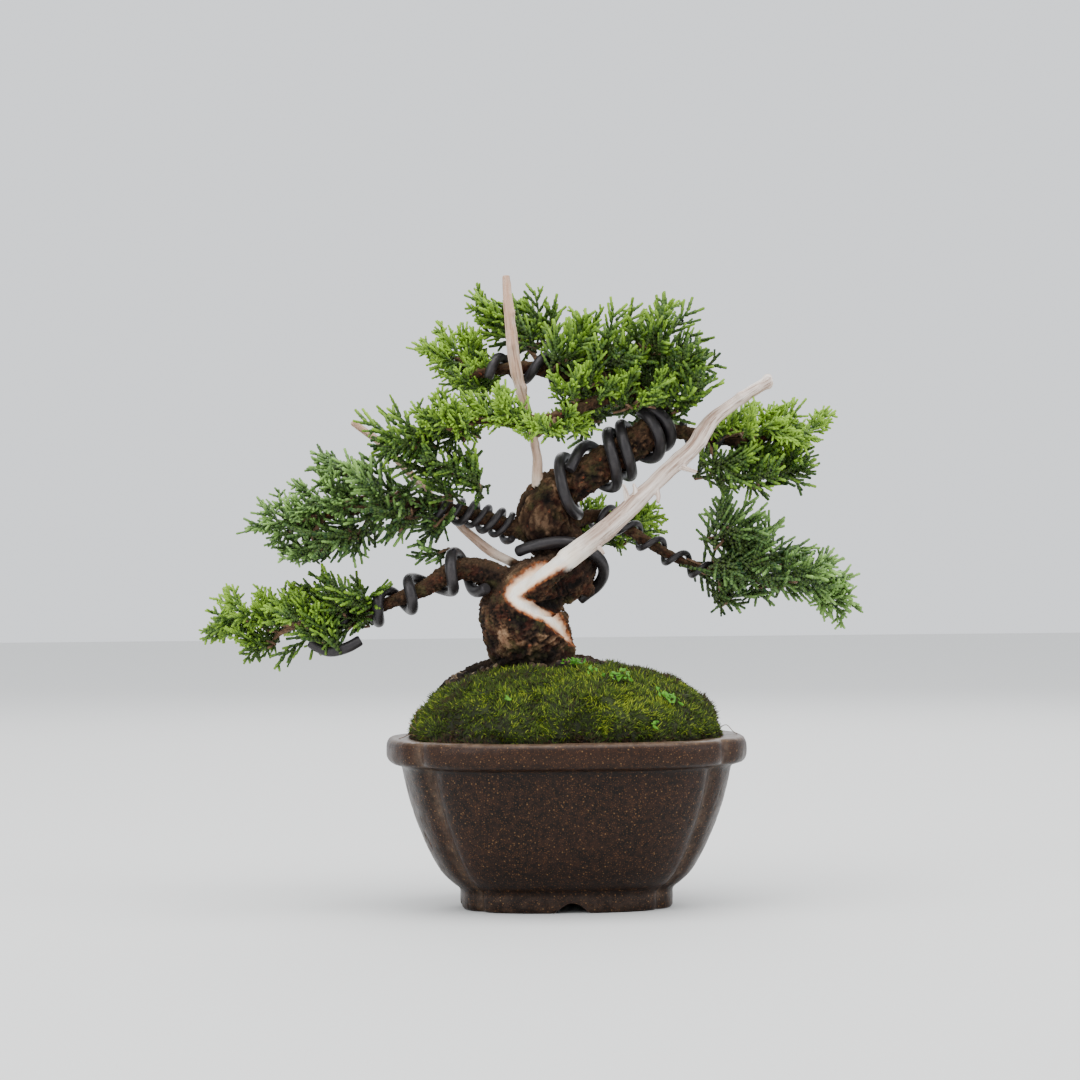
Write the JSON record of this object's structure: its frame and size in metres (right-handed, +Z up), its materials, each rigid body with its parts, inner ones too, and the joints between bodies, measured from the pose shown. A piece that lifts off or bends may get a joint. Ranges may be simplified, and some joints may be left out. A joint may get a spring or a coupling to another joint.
{
  "type": "potted bonsai juniper",
  "caption": "Small bonsai juniper with a twisting wired trunk, bare deadwood and flat foliage pads, rooted in a mossy mound in a low footed stoneware pot.",
  "frame": {"origin": "middle of the whole plant's bounding box, at the level that the pot's foot stands on", "axes": "+X along the pot's long side, +Y from the tree's front to its back, +Z up"},
  "size_m": [0.2168, 0.103, 0.2112],
  "materials": {
    "stoneware": "satin",
    "screen_mesh": "matte",
    "anodised_wire": "satin",
    "soil": "matte",
    "moss": "matte",
    "wood": "matte",
    "foliage": "matte"
  },
  "bodies": {
    "root": {"pot": "stoneware", "drain_screen_left": "screen_mesh", "drain_screen_right": "screen_mesh", "screen_clip_left": "anodised_wire", "screen_clip_right": "anodised_wire", "tie_wire": "anodised_wire", "soil": "soil", "moss": "moss", "tree": "wood", "wire_lower_left_branch": "anodised_wire", "wire_trunk_bend": "anodised_wire", "wire_upper_trunk": "anodised_wire", "wire_upper_trunk_second": "anodised_wire", "wire_left_branch": "anodised_wire", "wire_left_branch_second": "anodised_wire", "wire_crown_left_branch": "anodised_wire", "wire_right_upper_branch": "anodised_wire", "wire_right_lower_branch": "anodised_wire", "foliage_lower_left": "foliage", "foliage_left": "foliage", "foliage_middle": "foliage", "foliage_crown_left": "foliage", "foliage_crown": "foliage", "foliage_right_upper": "foliage", "foliage_right_lower": "foliage", "foliage_back": "foliage", "foliage_crown_back": "foliage"}
  },
  "joints": []
}
